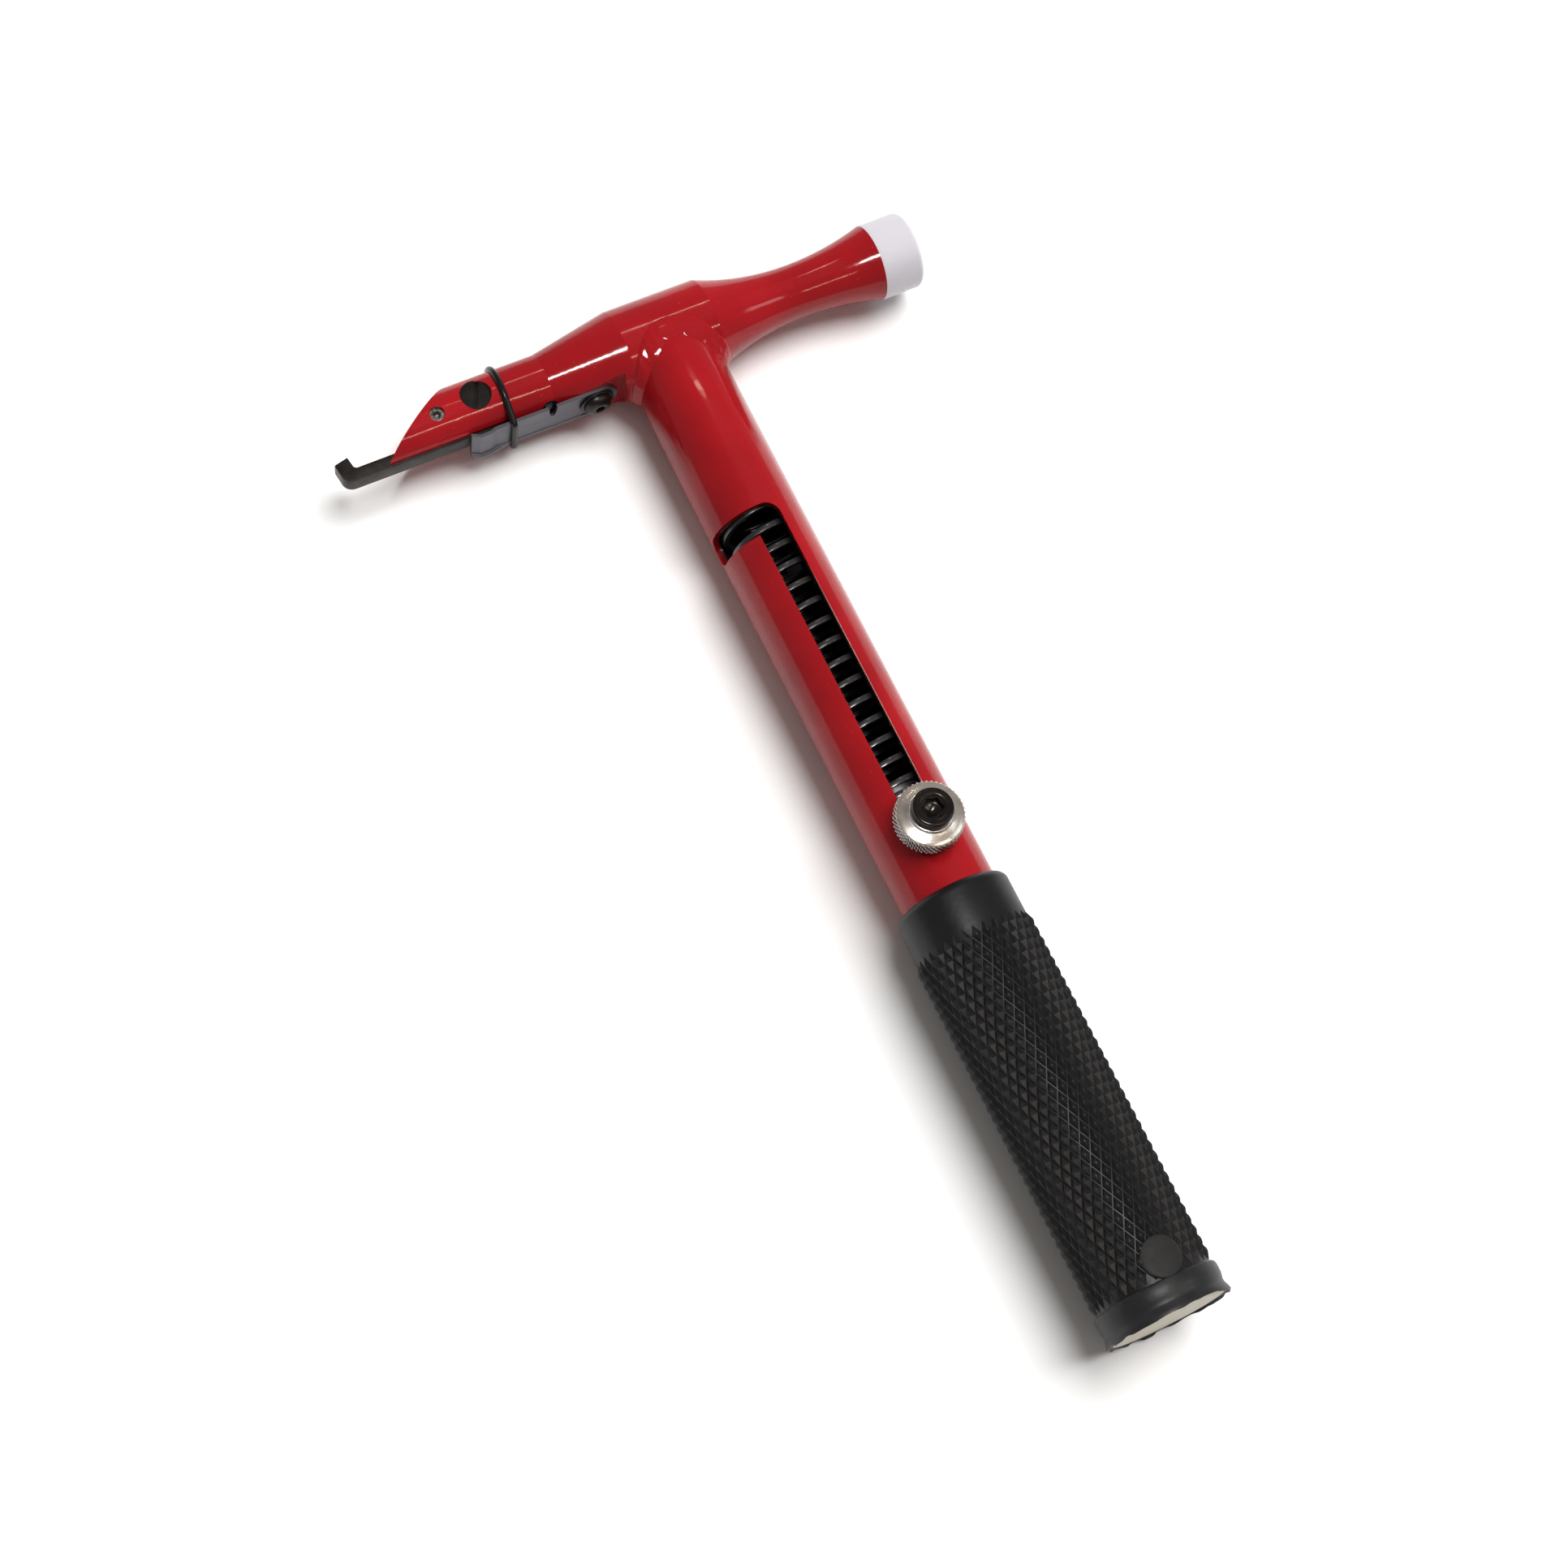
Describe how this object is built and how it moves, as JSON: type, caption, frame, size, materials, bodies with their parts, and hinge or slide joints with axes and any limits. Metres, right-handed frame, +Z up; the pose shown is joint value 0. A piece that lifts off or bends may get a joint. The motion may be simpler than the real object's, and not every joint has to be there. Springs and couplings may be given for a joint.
{
  "type": "hook-nosed soft-face hammer",
  "caption": "Hand hammer with a hooked nose blade, soft striking tip, welded tube handle with a sprung sliding knob in a J slot, and rubber grip.",
  "frame": {"origin": "bottom centre of the bounding box, on the surface the hammer lies on", "axes": "+X along the head from the hooked nose to the soft face, +Y along the handle from the butt to the head, +Z up through the knob"},
  "size_m": [0.1688, 0.302, 0.0404],
  "materials": {
    "red_paint": "gloss",
    "white_nylon": "satin",
    "black_oxide": "oiled black oxide",
    "clip_steel": "satin",
    "ring_rubber": "satin",
    "grip_rubber": "satin",
    "spring_steel": "gloss black",
    "turned_steel": "turned",
    "knurled_aluminium": "bright turned",
    "cream_card": "matte"
  },
  "bodies": {
    "hammer": {"head_body": "red_paint", "striking_tip": "white_nylon", "hook_blade": "black_oxide", "hook_screw": "black_oxide", "hook_set_screw": "black_oxide", "spring_clip": "clip_steel", "clip_washer": "black_oxide", "clip_screw": "black_oxide", "retaining_ring": "ring_rubber", "handle_tube": "red_paint", "weld_bead": "red_paint", "spring_seat": "turned_steel", "return_spring": "spring_steel", "grip": "grip_rubber", "end_disc": "cream_card"},
    "slider": {"slider_plunger": "turned_steel", "knob": "knurled_aluminium", "screw_washer": "black_oxide", "knob_screw": "black_oxide"}
  },
  "joints": [
    {"name": "knob_slide", "type": "slide", "parent": "hammer", "child": "slider", "axis": [0, 1, 0], "range_m": [0, 0.09175], "stiffness_N_per_m": 670, "springref_m": -0.015, "deforming": ["return_spring"]}
  ]
}
